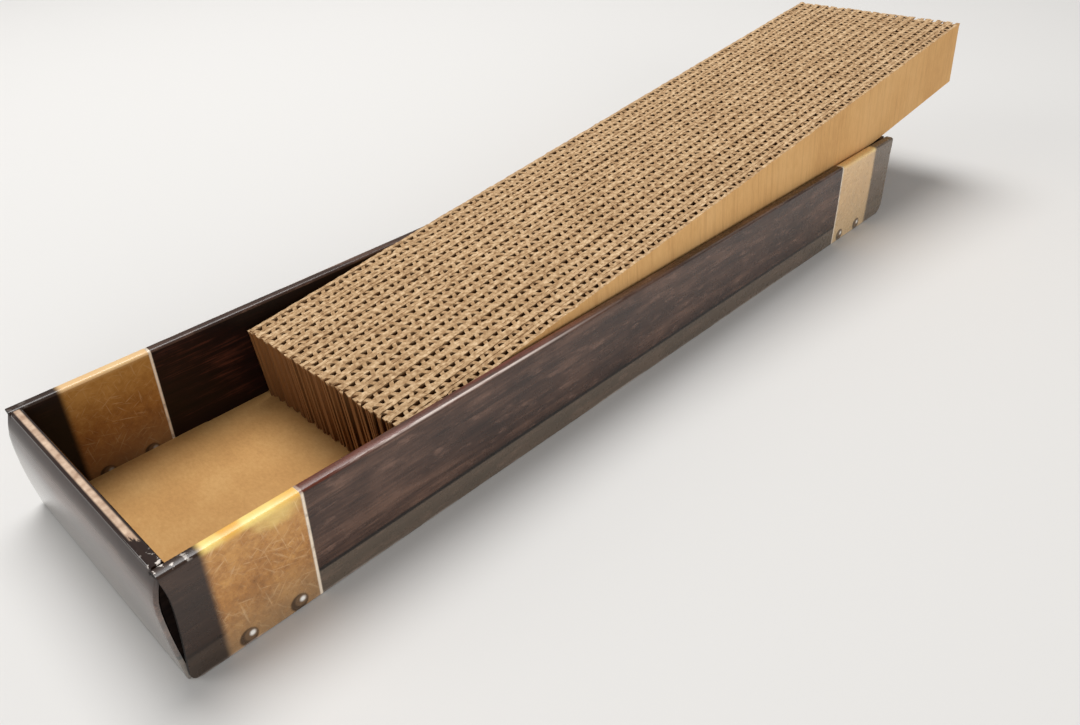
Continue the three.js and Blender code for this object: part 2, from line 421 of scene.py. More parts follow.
# Where that wear begins and is full, along the wall, up it or across it, and how patchy and strong it is
wearZones = {
    "rimTop": (0.0468, 0.0478),
    "wornSize": (0.05, 0.004, 0.004),
    "stainFrom": (-0.192, -0.188),
    "stainUpTo": (-0.02, -0.07),
    "stainPatches": (0.66, 0.4),
    "crease": (0.0619, 0.0627),
    "creaseSoft": 0.0003,
    "rubFrom": (-0.182, -0.164),
    "rubFades": (-0.03, -0.1),
    "rubPatches": (0.43, 0.56),
    "rubLeast": 0.1,
    "rubMore": 0.75,
    "foot": (0.0009, 0.0003),
    "footPatches": (0.4, 0.6),
    "footShare": 0.35,
    "chipTop": (0.0471, 0.0477),
    "frontChips": (-0.226, -0.233),
    "rearChips": (0.229, 0.237),
    "rearChipShare": 0.3,
}


# Creases of the rim, stained or rubbed pale in places, the foot paler in a patchy line, and chips at the
# corners
def wornCreases(finish, colour, axes, onBrass, wear):
    zone = wearZones
    x, y, z = axes
    offBrass = finish.math("SUBTRACT", 1.0, onBrass)
    rimTop = finish.step(z, *zone["rimTop"])
    worn = finish.marks(zone["wornSize"], detail=6, rough=0.72)
    stained = finish.both(finish.step(x, *zone["stainFrom"]), finish.step(x, *zone["stainUpTo"]))
    patches = finish.step(worn, *zone["stainPatches"])
    stain = finish.both(rimTop, offBrass, stained, patches, wear["stain"])
    colour = finish.mix(stain, colour, planks["rimStain"])
    fromMiddle = finish.math("ABSOLUTE", y)
    outerCrease = finish.both(finish.between(fromMiddle, *zone["crease"], zone["creaseSoft"]), rimTop)
    fade = finish.math("MULTIPLY_ADD", finish.step(x, *zone["rubFades"]), zone["rubMore"], zone["rubLeast"])
    rubbed = finish.both(finish.step(worn, *zone["rubPatches"]), finish.step(x, *zone["rubFrom"]))
    colour = finish.mix(finish.both(outerCrease, rubbed, offBrass, fade), colour, planks["worn"])
    foot = finish.both(finish.step(z, *zone["foot"]), finish.step(worn, *zone["footPatches"]),
                       zone["footShare"])
    colour = finish.mix(foot, colour, planks["worn"])
    nearFront = finish.both(finish.step(x, *zone["frontChips"]), wear["chips"])
    nearRear = finish.both(finish.step(x, *zone["rearChips"]), zone["rearChipShare"])
    atTop = finish.step(z, *zone["chipTop"])
    chipped = finish.both(finish.either(nearFront, nearRear), atTop, chipShare(finish))
    return finish.mix(chipped, colour, planks["scuff"])


def wallPrint(sideName, isInner=False):
    wear, bands = wallWear[sideName], metal[f"{sideName}Bands"]
    finish = Finish(f"{sideName}InnerPrint" if isInner else f"{sideName}WallPrint")
    x, y, z = finish.axes()
    wood, shade = plankColour(finish, "x", z)
    brass = brassColour(finish, z, wear["fade"])
    # painted shade: the inner faces get a darker copy of the print, the brass lighter again towards its top
    # as painted light
    if isInner:
        wood = finish.ramp(shade, (0.42, planks["inside"]), (0.54, planks["insideGrain"]),
                           (0.64, planks["insideStreak"]))
        brass = finish.mix(metal["insideShare"], brass, metal["inside"])
        paintedLight = finish.both(finish.step(z, *metal["insidePaintedLightUp"]), metal["insidePaintedLightShare"])
        brass = finish.mix(paintedLight, brass, metal["insidePaintedLight"])
    onBrass, atCorner, onLine = bandShares(finish, x, bands)
    patchy = finish.marks(planks["patchSize"], detail=3)

    isRear = finish.math("GREATER_THAN", x, 0.0)
    # painted reflection on the outside rear corner; painted shade in the inner corners
    cornerTone = planks["inside"] if isInner else finish.mix(isRear, planks["corner"], planks["rearCorner"])
    colour = finish.mix(finish.both(atCorner, planks["cornerShare"]), wood, cornerTone)
    # painted reflection: the rear brass of the outer walls paler
    reflectionShare = 0.0 if isInner else metal["rearSheenShare"]
    brass = finish.mix(finish.both(isRear, reflectionShare), brass, metal["rearSheen"])
    colour = finish.mix(onBrass, colour, brass)
    # painted highlight: a glare patch on the brass near the top of the band
    spotX, _, spotZ = finish.axes(finish.inFrame(size=metal["spotSize"], shift=metal["spotPlace"]))
    squares = finish.math("MULTIPLY_ADD", spotX, spotX, finish.math("MULTIPLY", spotZ, spotZ))
    glareSpot = finish.math("MULTIPLY_ADD", patchy, metal["spotUnevenness"], squares)
    glareSpot = finish.step(glareSpot, *metal["spotFrom"])
    colour = finish.mix(finish.both(glareSpot, onBrass, wear["glareSpot"]), colour, metal["paintedGlare"])
    rivetHeight = metal["innerRivetHeight"] if isInner else metal["rivetHeight"]
    dome, shine, shadow = rivetShares(finish, x, z, bands, rivetHeight)
    shineShare = metal["insideShine"] if isInner else 1.0
    colour = finish.mix(finish.both(onBrass, shadow, metal["rivetShare"]), colour, metal["rivetShadow"])
    colour = finish.mix(finish.both(onBrass, dome, metal["rivetShare"]), colour, metal["rivetDome"])
    colour = finish.mix(finish.both(onBrass, shine, shineShare), colour, metal["rivetShine"])
    onLine = finish.both(onLine, finish.step(patchy, *metal["lineFrom"]), metal["lineShare"])
    colour = finish.mix(onLine, colour, metal["line"])
    colour = wornCreases(finish, colour, (x, y, z), onBrass, wear)
    finish.uniform("Specular IOR Level", planks["insideSpecular"] if isInner else planks["specular"])
    smoothest = planks["insideRough"] if isInner else planks["rough"]
    rough = finish.math("MULTIPLY_ADD", patchy, planks["roughSpread"], smoothest)
    return finish.done(colour, rough, height=shade, depth=planks["grainDepth"])


# End panels: dull under the rim, glossy below; in front also painted shade darkening the top, a painted
# reflection lightening the lower part and a painted highlight along the rim
endWear = {
    "ior": 1.75,
    # painted shade: the front end darker towards its top
    "paintedShadeUp": (0.035, 0.045),
    "paintedShadeShare": 0.85,
    # painted reflection: the front end lighter towards its foot
    "reflectionDown": (0.042, 0.024),
    "reflectionShare": 0.22,
    "dullUp": (0.036, 0.0465),
    "dullUpTo": (0.0474, 0.0469),
    "dullness": 0.6,
    "rimTop": (0.0472, 0.0478),
    # painted highlight: where the pale strip lies along the front rim
    "stripAcross": (-0.23855, -0.2363),
    "stripSoft": 0.0004,
    "stripEnd": -0.056,
    "stripEndSpread": 0.03,
    "stripEndSize": (0.003, 0.016, 0.016),
    "stripEndSoft": 0.001,
    "stripDark": tone(182, 148, 122),
    "stripLight": tone(238, 208, 180),
    "stripShare": 0.95,
    "rightChips": (-0.047, -0.056),
    "leftChips": (0.052, 0.058),
    "leftChipShare": 0.1,
    "rough": 0.04,
    "roughSpread": 0.04,
    "grainDepth": 0.00001,
}


def endPrint(name, isFront):
    finish = Finish(name)
    x, y, z = finish.axes()
    colour, shade = plankColour(finish, "y", z)
    patchy = finish.marks(planks["patchSize"], detail=3)
    atTop = finish.step(z, *endWear["rimTop"])
    if isFront:
        # painted shade: the front end darker towards its top
        paintedShade = finish.both(finish.step(z, *endWear["paintedShadeUp"]), endWear["paintedShadeShare"])
        colour = finish.mix(paintedShade, colour, planks["dark"])
        # painted reflection: the front end lighter and greyer towards its foot
        reflecting = finish.both(finish.step(z, *endWear["reflectionDown"]), endWear["reflectionShare"])
        colour = finish.mix(reflecting, colour, planks["endReflection"])
        # painted highlight: a pale strip along the front rim
        wander = finish.marks(endWear["stripEndSize"], detail=4, rough=0.7)
        stripEnd = finish.math("MULTIPLY_ADD", wander, endWear["stripEndSpread"], endWear["stripEnd"])
        soft = endWear["stripEndSoft"]
        along = finish.step(finish.math("SUBTRACT", y, stripEnd), -soft, soft)
        across = finish.between(x, *endWear["stripAcross"], endWear["stripSoft"])
        mottled = finish.ramp(patchy, (0.3, endWear["stripDark"]), (0.7, endWear["stripLight"]))
        colour = finish.mix(finish.both(atTop, along, across, endWear["stripShare"]), colour, mottled)
    nearRight = finish.step(y, *endWear["rightChips"]) if isFront else 0.0
    nearLeft = finish.both(finish.step(y, *endWear["leftChips"]), endWear["leftChipShare"])
    chipped = finish.both(finish.either(nearRight, nearLeft), atTop, chipShare(finish))
    colour = finish.mix(chipped, colour, planks["scuff"])
    finish.uniform("IOR", endWear["ior"])
    dull = finish.both(finish.step(z, *endWear["dullUp"]), finish.step(z, *endWear["dullUpTo"]),
                       endWear["dullness"])
    rough = finish.math("MULTIPLY_ADD", patchy, endWear["roughSpread"], endWear["rough"])
    rough = finish.math("ADD", rough, dull)
    return finish.done(colour, rough, height=shade, depth=endWear["grainDepth"])


# The hidden flaps at the corners and the cut edges of the board, both nearly black; the flaps' dark plank
# print is darkened further as painted shade of the gaps at the corners
cutBoard = {
    "flap": tone(3, 2, 2),
    "edgeDark": tone(14, 10, 8),
    "edgeLight": tone(38, 29, 24),
    "layerSize": 0.0011,
    "layerDepth": 0.0001,
    "edgeRough": 0.8,
    "flapShare": 0.94,
    "flapSpecular": 0.05,
    "flapRough": 0.9,
}


def flapPrint():
    finish = Finish("flapPrint")
    wood, shade = plankColour(finish, "x", finish.axes()[2])
    # painted shade: the flaps' print darkened almost to black
    colour = finish.mix(cutBoard["flapShare"], wood, cutBoard["flap"])
    finish.uniform("Specular IOR Level", cutBoard["flapSpecular"])
    return finish.done(colour, cutBoard["flapRough"], height=shade, depth=planks["grainDepth"])


def boardEdge():
    finish = Finish("boardEdge")
    layers = finish.marks(cutBoard["layerSize"], detail=4)
    colour = finish.ramp(layers, (0.3, cutBoard["edgeDark"]), (0.7, cutBoard["edgeLight"]))
    return finish.done(colour, cutBoard["edgeRough"], height=layers, depth=cutBoard["layerDepth"])


# The base: bare kraft inside, print underneath
kraft = {
    "dark": tone(194, 142, 80),
    "middle": tone(212, 160, 95),
    "light": tone(226, 179, 114),
    "cloudSize": 0.03,
    "fibreSize": (0.0012, 0.0022, 0.0012),
    "printedUnder": (0.0003, 0.0001),
    "cloudShare": 0.6,
    "fibreShare": 0.4,
    "rough": 0.82,
    "printRough": 0.37,
    "fibreDepth": 0.00008,
    "fibreStrength": 0.3,
}


def kraftBoard():
    finish = Finish("kraftBoard")
    z = finish.axes()[2]
    cloud = finish.marks(kraft["cloudSize"], detail=5, rough=0.6)
    fibres = finish.marks(kraft["fibreSize"], detail=4, rough=0.7)
    shade = finish.math("MULTIPLY", cloud, kraft["cloudShare"])
    shade = finish.math("MULTIPLY_ADD", fibres, kraft["fibreShare"], shade)
    bare = finish.ramp(shade, (0.3, kraft["dark"]), (0.5, kraft["middle"]), (0.7, kraft["light"]))
    wood, _ = plankColour(finish, "x", z)
    underside = finish.step(z, *kraft["printedUnder"])
    colour = finish.mix(underside, bare, wood)
    rough = finish.math("MULTIPLY_ADD", underside, kraft["printRough"] - kraft["rough"], kraft["rough"])
    return finish.done(colour, rough, height=fibres, depth=kraft["fibreDepth"],
                       strength=kraft["fibreStrength"])


# Tray walls: each a sheet that goes up outside, over the rim and down inside
wall = {
    "board": 0.0015,
    "creaseRadius": 0.0012,
    "creaseSteps": 4,
    "swellHeight": 0.034,
    "frontDrawBack": 0.0018,
    "rearDrawBack": 0.0005,
    "frontSwell": 0.0028,
    "rearSwell": 0.0008,
    "swellSpread": 0.15,
    "swellRipples": (3, 22, 30),
    "lengthCuts": 59,
    "widthCuts": 19,
    "heightCuts": 9,
    "tallEdge": 0.02,
    "footCuts": (0.0006, 0.0015, 0.0028),
    "frontFootRound": 0.004,
    "rearFootRound": 0.0065,
    "wave": 0.00025,
    "waveBase": 0.6,
    "waveRipples": (9, 5, 14),
    "foldRadius": 0.0009,
    "foldTurn": 0.3,
    "shoulderDrop": 0.0002,
    "sheetReach": 0.0005,
    "edgeFaceArea": 4e-5,
    "tabReach": 1e-4,
    "tabTaper": 0.003,
    "sideTabs": (-0.148, 0.0, 0.148),
    "sideTabWidth": 0.036,
    "endTabWidth": 0.040,
}
printed, cutEdge, innerPrint = range(3)


def swellShare(z, top):
    peak = wall["swellHeight"]
    run = peak if z < peak else top - peak
    return math.cos(min(1.0, abs(z - peak) / run) * math.pi / 2)


# How far a rounded lower corner draws an edge in at a height
def footRound(z, radius):
    return radius - math.sqrt(radius ** 2 - max(0.0, radius - z) ** 2)


def cutAcross(shape, point, normal):
    bmesh.ops.bisect_plane(shape, geom=shape.verts[:] + shape.edges[:] + shape.faces[:], dist=welded,
                           plane_co=point, plane_no=normal)


# Bends edges into round folds
def roundOff(shape, edges, radius):
    bmesh.ops.bevel(shape, geom=edges, offset=radius, offset_type="OFFSET", affect="EDGES",
                    segments=wall["creaseSteps"], profile=0.5, material=-1)


# A path of corners, run out along a direction, with its creases rounded and its panels cut into a grid
def foldedSheet(corners, run, alongCuts):
    shape = bmesh.new()
    points = [shape.verts.new(corner) for corner in corners]
    edges = [shape.edges.new(pair) for pair in zip(points, points[1:])]
    made = bmesh.ops.extrude_edge_only(shape, edges=edges)["geom"]
    far = [item for item in made if isinstance(item, bmesh.types.BMVert)]
    bmesh.ops.translate(shape, vec=run, verts=far)
    roundOff(shape, [edge for edge in shape.edges if len(edge.link_faces) == 2], wall["creaseRadius"])
    direction = run.normalized()

    def isAlong(edge):
        return abs((edge.verts[1].co - edge.verts[0].co).normalized().dot(direction)) > facing

    def isTall(edge):
        return abs(edge.verts[1].co.z - edge.verts[0].co.z) > wall["tallEdge"]

    lengthwise = [edge for edge in shape.edges if isAlong(edge)]
    bmesh.ops.subdivide_edges(shape, edges=lengthwise, cuts=alongCuts)
    tall = [edge for edge in shape.edges if not isAlong(edge) and isTall(edge)]
    bmesh.ops.subdivide_edges(shape, edges=tall, cuts=wall["heightCuts"])
    bmesh.ops.recalc_face_normals(shape, faces=shape.faces)
    rim = max(shape.faces, key=lambda face: face.calc_center_median().z)
    if rim.normal.z < 0:
        bmesh.ops.reverse_faces(shape, faces=shape.faces)
    return shape


# Tapered tabs, drawn down from the foot of the inner panel into the base
def addTabs(shape, axis, inner, foot, tip, centres, width):
    along = Vector((1, 0, 0)) if axis == 0 else Vector((0, 1, 0))
    for centre in centres:
        for end in (-1, 1):
            cutAcross(shape, along * (centre + end * width / 2), along)

    def onTab(edge):
        middle = (edge.verts[0].co + edge.verts[1].co) / 2
        level = max(abs(vert.co.z - foot) for vert in edge.verts) < touching
        near = abs(middle[1 - axis] - inner) < wall["tabReach"]
        return level and near and any(abs(middle[axis] - centre) < width / 2 for centre in centres)

    feet = [edge for edge in shape.edges if onTab(edge)]
    made = bmesh.ops.extrude_edge_only(shape, edges=feet)["geom"]
    tips = [item for item in made if isinstance(item, bmesh.types.BMVert)]
    bmesh.ops.translate(shape, vec=(0, 0, tip - foot), verts=tips)
    for vert in tips:
        centre = min(centres, key=lambda place: abs(vert.co[axis] - place))
        offset = vert.co[axis] - centre
        if abs(offset) > width / 2 - wall["tabTaper"]:
            vert.co[axis] = centre + math.copysign(width / 2 - wall["tabTaper"], offset)
    bmesh.ops.remove_doubles(shape, verts=shape.verts, dist=welded)


# Gives a sheet its board, inwards from the print, and its cut edges their own finish
def thicken(shape, edgeAxis):
    bmesh.ops.solidify(shape, geom=shape.faces[:], thickness=wall["board"])
    shape.normal_update()
    for face in shape.faces:
        isEdge = abs(face.normal[edgeAxis]) > facing or face.normal.z < -facing
        isSmall = face.calc_area() < wall["edgeFaceArea"]
        face.material_index = cutEdge if isEdge and isSmall else printed


# The sides of an end panel are folds: rounded outside, with the print going round them
def roundFolds(shape, end):
    folds = []
    for edge in shape.edges:
        normals = [face.normal for face in edge.link_faces]
        atSide = any(abs(normal.y) > facing for normal in normals)
        atFace = any(normal.x * end > facing for normal in normals)
        if atSide and atFace:
            folds.append(edge)
    roundOff(shape, folds, wall["foldRadius"])
    shape.normal_update()
    for face in shape.faces:
        if abs(face.normal.y) > wall["foldTurn"]:
            face.material_index = printed


def longWall(sideName, side, finishes):
    nodes = [f"{sideName}_outer_wall", f"{sideName}_rim", f"{sideName}_inner_wall"]
    low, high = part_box(nodes[1])
    innerLow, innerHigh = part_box(nodes[2])
    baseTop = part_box("base_panel")[1].z
    outer = high.y if side > 0 else low.y
    inner = innerLow.y if side > 0 else innerHigh.y
    corners = [(low.x, outer, 0), (low.x, outer, high.z),
               (low.x, inner, high.z), (low.x, inner, baseTop)]
    shape = foldedSheet(corners, Vector((high.x - low.x, 0, 0)), wall["lengthCuts"])
    alongX, perSide, upZ = wall["waveRipples"]
    for height in wall["footCuts"]:
        cutAcross(shape, (0, 0, height), (0, 0, 1))
    for vert in shape.verts:
        x, y, z = vert.co
        isFront, isRear = x < low.x + touching, x > high.x - touching
        if abs(y - inner) < touching and z < innerHigh.z:
            vert.co.x = max(innerLow.x, min(innerHigh.x, x))
        elif abs(y - outer) < touching and z < innerHigh.z:
            share = swellShare(z, innerHigh.z)
            vert.co.x += isFront * (share * wall["frontDrawBack"] + footRound(z, wall["frontFootRound"]))
            vert.co.x -= isRear * (share * wall["rearDrawBack"] + footRound(z, wall["rearFootRound"]))
            belly = math.sin(math.pi * z / innerHigh.z)
            ripple = noise.noise(Vector((x * alongX, side * perSide, z * upZ))) * belly
            vert.co.y += side * wall["wave"] * (wall["waveBase"] + ripple) * belly
    addTabs(shape, 0, inner, baseTop, innerLow.z, wall["sideTabs"], wall["sideTabWidth"])
    thicken(shape, 0)
    for face in shape.faces:
        middle = face.calc_center_median()
        isInside = abs(middle.y) < abs(inner) + wall["board"] and middle.z < innerHigh.z
        if face.material_index == printed and isInside:
            face.material_index = innerPrint
    makePiece(f"{sideName}_long_wall", shape, "tray", finishes, nodes)


def endWall(endName, end, finish, edgeFinish):
    nodes = [f"{endName}_outer_end", f"{endName}_rim", f"{endName}_inner_end"]
    rimLow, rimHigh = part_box(nodes[1])
    innerLow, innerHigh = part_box(nodes[2])
    panelLow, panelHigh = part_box(nodes[0])
    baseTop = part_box("base_panel")[1].z
    outer, inner = (rimHigh.x, innerLow.x) if end > 0 else (rimLow.x, innerHigh.x)
    corners = [(outer, panelLow.y, 0), (outer, panelLow.y, rimHigh.z),
               (inner, panelLow.y, rimHigh.z), (inner, panelLow.y, baseTop)]
    shape = foldedSheet(corners, Vector((0, panelHigh.y - panelLow.y, 0)), wall["widthCuts"])
    shoulder = innerHigh.z - wall["shoulderDrop"]
    for y in (innerLow.y, innerHigh.y):
        cutAcross(shape, (0, y, 0), (0, 1, 0))
    cutAcross(shape, (0, 0, shoulder), (0, 0, 1))

    def underSideRim(face):
        middle = face.calc_center_median()
        outside = middle.y < innerLow.y or middle.y > innerHigh.y
        return outside and (middle.z > shoulder or abs(middle.x - outer) > wall["sheetReach"])

    bmesh.ops.delete(shape, geom=[face for face in shape.faces if underSideRim(face)], context="FACES")
    swell = wall["rearSwell"] if end > 0 else wall["frontSwell"]
    perEnd, alongY, upZ = wall["swellRipples"]
    for vert in shape.verts:
        x, y, z = vert.co
        if abs(x - outer) < touching and z < innerHigh.z:
            unevenness = wall["swellSpread"] * noise.noise(Vector((end * perEnd, y * alongY, z * upZ)))
            vert.co.x += end * swell * swellShare(z, innerHigh.z) * (1 + unevenness)
    addTabs(shape, 1, inner, baseTop, innerLow.z, (0.0,), wall["endTabWidth"])
    thicken(shape, 1)
    roundFolds(shape, end)
    makePiece(f"{endName}_end_wall", shape, "tray", [finish, edgeFinish], nodes)


edgeFinish = boardEdge()
for sideName, side in (("left", 1), ("right", -1)):
    longWall(sideName, side, [wallPrint(sideName), edgeFinish, wallPrint(sideName, isInner=True)])
endWall("front", -1, endPrint("frontEndPrint", True), edgeFinish)
endWall("rear", 1, endPrint("rearEndPrint", False), edgeFinish)
print("tray walls folded")

carried = {"base_panel": kraftBoard()}
flapFinish = flapPrint()
for endName in ("front", "rear"):
    for sideName in ("left", "right"):
        carried[f"{endName}_{sideName}_corner_flap"] = flapFinish
for nodeName, material in carried.items():
    node = frame["nodes"][nodeName]
    node.data.materials.clear()
    node.data.materials.append(material)
print("base and flaps finished")


# Scratching pad: strips of corrugated board on edge, in the pad's own leaning frame
pad = {
    "length": 0.468,
    "height": 0.0385,
    "flutes": 57,
    "stepsPerFlute": 16,
    "steepness": 2.2,
    "crestNarrowing": 0.25,
    "phaseStep": 0.09,
    "phaseSpread": 0.5,
    "fluteDrop": 0.0002,
    "levels": (0.0, 0.0016, 0.0128, 0.0257, 0.0369, 0.0385),
    "linerPaper": 0.0010,
    "linerLip": 0.0007,
    "coverPaper": 0.0008,
    "flutePaper": 0.0008,
    "flare": 0.00064,
    "flareFrom": 0.1,
    "glue": 0.00005,
    "seam": 0.00008,
    "stripGap": 0.0003,
    "topZone": 0.0013,
    "topPower": 6,
    "pitchWander": 0.0006,
    "wanderScale": (22, 5.3, 0.25),
    "crush": 0.0004,
    "crushScale": (260, 9.1),
    "crushShifts": (2.5, 7.5),
    "ragged": 0.00045,
    "raggedScale": (700, 3.7),
    "raggedShift": 0.5,
    "lipSpread": 0.6,
    "lipScale": 420,
    "frontSpread": 0.0012,
    "rearSpread": 0.0003,
    "heightSpread": 0.0003,
    "linerSteps": 234,
    "seedStep": 17,
    "firstSeed": 3,
    "cutTilt": 0.75,
    "faceTilt": 0.95,
    "frayDepth": 0.0018,
    "tuftSize": 0.0021,
    "cloudSize": 0.03,
    "faceCloudSize": 0.04,
    "faceFibreSize": (0.0008, 0.0008, 0.006),
    "faceStreakSize": (0.0017, 0.03, 0.07),
    "faceLineSize": (0.011, 0.03, 0.25),
    "cloudShare": 0.12,
    "tuftShare": 0.88,
    "fluteCutShare": 0.28,
    "tuftDepth": 0.0002,
    "paperRough": 0.9,
    "faceCloudShare": 0.55,
    "faceFibreShare": 0.45,
    "faceUnevenFrom": (0.42, 0.62),
    "faceLineFrom": (0.6, 1.0),
    "faceLineShare": 0.22,
    "faceStreakFrom": (0.5, 0.7),
    "faceStreakShare": 0.5,
    "faceFibreDepth": 0.00004,
    "faceRough": 0.85,
    # painted shade: the tone of the sheets in the depth of the flutes
    "inside": tone(130, 86, 42),
    "frayed": tone(189, 154, 112),
    "frayedDark": tone(150, 114, 76),
    "frayedLight": tone(224, 192, 151),
    "fluteCut": tone(150, 110, 66),
    "face": tone(216, 167, 105),
    "faceDark": tone(201, 150, 89),
    "faceLine": tone(186, 134, 76),
    "faceLight": tone(224, 178, 118),
}
insideSheet, cutPaper, fluteCut, outerFace = range(4)
padFoot = Vector(frame["joints"][0]["pos_m"])
padLean = math.asin((padFoot.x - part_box("pad_cover_liner")[0].x) / pad["height"])
padTurn = Euler((0, -padLean, 0))
padPlace = Matrix.Translation(padFoot) @ padTurn.to_matrix().to_4x4()


# A finish of the pad and the place in the pad's own frame
def padFinish(name):
    finish = Finish(name)
    return finish, finish.inFrame(turn=tuple(padTurn), shift=tuple(padFoot))


# Paper: cut edges frayed pale, sheets darker away from the cut as painted shade in the flutes, and the
# smooth outer faces
def paperFinishes():
    made = []
    for name in ("insideSheet", "cutPaper", "fluteCut"):
        finish, own = padFinish(name)
        tufts = finish.marks(pad["tuftSize"], detail=4, rough=0.65, place=own)
        cloud = finish.marks(pad["cloudSize"], detail=3, place=own)
        shade = finish.math("MULTIPLY", cloud, pad["cloudShare"])
        shade = finish.math("MULTIPLY_ADD", tufts, pad["tuftShare"], shade)
        colour = finish.ramp(shade, (0.36, pad["frayedDark"]), (0.5, pad["frayed"]),
                             (0.64, pad["frayedLight"]))
        if name == "insideSheet":
            # painted shade: sheets darker below the frayed pale cut edge
            atCut = finish.step(finish.axes(own)[2], pad["height"] - pad["frayDepth"], pad["height"])
            colour = finish.mix(atCut, pad["inside"], colour)
        elif name == "fluteCut":
            colour = finish.mix(pad["fluteCutShare"], colour, pad["fluteCut"])
        made.append(finish.done(colour, pad["paperRough"], height=tufts, depth=pad["tuftDepth"]))

    finish, own = padFinish("outerFace")
    cloud = finish.marks(pad["faceCloudSize"], detail=4, place=own)
    fibres = finish.marks(pad["faceFibreSize"], detail=4, rough=0.7, place=own)
    shade = finish.math("MULTIPLY", cloud, pad["faceCloudShare"])
    shade = finish.math("MULTIPLY_ADD", fibres, pad["faceFibreShare"], shade)
    colour = finish.ramp(shade, (0.34, pad["faceDark"]), (0.5, pad["face"]), (0.66, pad["faceLight"]))
    turns = finish.math("MULTIPLY", finish.axes(own)[0], 2 * math.pi * pad["flutes"] / pad["length"])
    uneven = finish.marks(pad["faceLineSize"], detail=3, rough=0.7, place=own)
    uneven = finish.step(uneven, *pad["faceUnevenFrom"])
    lines = finish.both(finish.step(finish.math("SINE", turns), *pad["faceLineFrom"]), uneven)
    streaks = finish.marks(pad["faceStreakSize"], detail=4, rough=0.7, place=own)
    streaks = finish.both(finish.step(streaks, *pad["faceStreakFrom"]), pad["faceStreakShare"])
    lined = finish.math("MULTIPLY_ADD", lines, pad["faceLineShare"], streaks)
    colour = finish.mix(lined, colour, pad["faceLine"])
    made.append(finish.done(colour, pad["faceRough"], height=fibres, depth=pad["faceFibreDepth"]))
    return made


# A flat sheet on edge, from one end of the pad to the other, whose paper will grow towards +y
def standingSheet(shape, steps, y):
    levels = pad["levels"]
    made = bmesh.ops.create_grid(shape, x_segments=steps, y_segments=len(levels) - 1, size=0.5)["verts"]
    for vert in made:
        level = round((vert.co.y + 0.5) * (len(levels) - 1))
        vert.co = ((vert.co.x + 0.5) * pad["length"], y, levels[level])
    return made


def givePaper(shape, verts, thickness, cutFinish=cutPaper):
    shape.normal_update()
    faces = list(dict.fromkeys(face for vert in verts for face in vert.link_faces))
    for face in faces:
        face.material_index = cutFinish
    bmesh.ops.solidify(shape, geom=faces, thickness=thickness)


# The knife leaves each sheet a little long or short, and its upper edge ragged
def trimUnevenly(verts, draw, number):
    front = draw.uniform(0, 1) * pad["frontSpread"]
    rear = draw.uniform(-1, 0) * pad["rearSpread"]
    lift = draw.uniform(-1, 0.4) * pad["heightSpread"]
    alongX, perStrip = pad["raggedScale"]
    for vert in verts:
        share = vert.co.x / pad["length"]
        up = vert.co.z / pad["height"]
        vert.co.x += front * (1 - share) + rear * share
        rag = noise.noise(Vector((vert.co.x * alongX, number * perStrip, pad["raggedShift"])))
        vert.co.z += (lift + pad["ragged"] * rag) * max(0, up * 2 - 1)


# A steep-sided wave between the liners, its cut edge a little lower than theirs
def fluteWave(verts, low, high, number, phase):
    steep, narrow = pad["steepness"], pad["crestNarrowing"]
    deepest, highest = math.tanh(-steep * (1 + narrow)), math.tanh(steep * (1 - narrow))
    turns = 2 * math.pi * pad["flutes"] / pad["length"]
    wanderX, wanderStrip, wanderUp = pad["wanderScale"]
    crushX, crushStrip = pad["crushScale"]
    acrossShift, alongShift = pad["crushShifts"]
    for vert in verts:
        x, _, z = vert.co
        up = z / pad["height"]
        atTop = up ** pad["topPower"]
        drift = noise.noise(Vector((x * wanderX, number * wanderStrip, up * wanderUp)))
        wave = math.tanh(steep * (math.sin(turns * (x + pad["pitchWander"] * drift) + phase) - narrow))
        vert.co.y = low + (high - low) * (wave - deepest) / (highest - deepest)
        across = noise.noise(Vector((x * crushX, number * crushStrip, acrossShift)))
        along = noise.noise(Vector((x * crushX, number * crushStrip, alongShift)))
        vert.co.y += pad["crush"] * (across * atTop)
        vert.co.x += pad["crush"] * along * atTop
        vert.co.z -= pad["fluteDrop"] * atTop


def isAtTop(vert):
    return vert.co.z > pad["height"] - pad["topZone"]


# The upper edges of the liners fray into lips over the flutes
def frayLiners(shape, nearFace, farFace):
    for vert in shape.verts:
        lip = pad["linerLip"] * (1 + pad["lipSpread"] * noise.noise(vert.co * pad["lipScale"]))
        if isAtTop(vert) and abs(vert.co.y - nearFace) < welded:
            vert.co.y += lip
        elif isAtTop(vert) and abs(vert.co.y - farFace) < welded:
            vert.co.y -= lip


# The upper edges of the flutes widen where they cross between the liners
def flareCutEdges(shape):
    shape.normal_update()
    for vert in shape.verts:
        if isAtTop(vert):
            across = Vector((vert.normal.x, vert.normal.y, 0))
            if across.length > pad["flareFrom"]:
                across.normalize()
                vert.co += across * pad["flare"] * abs(across.x)


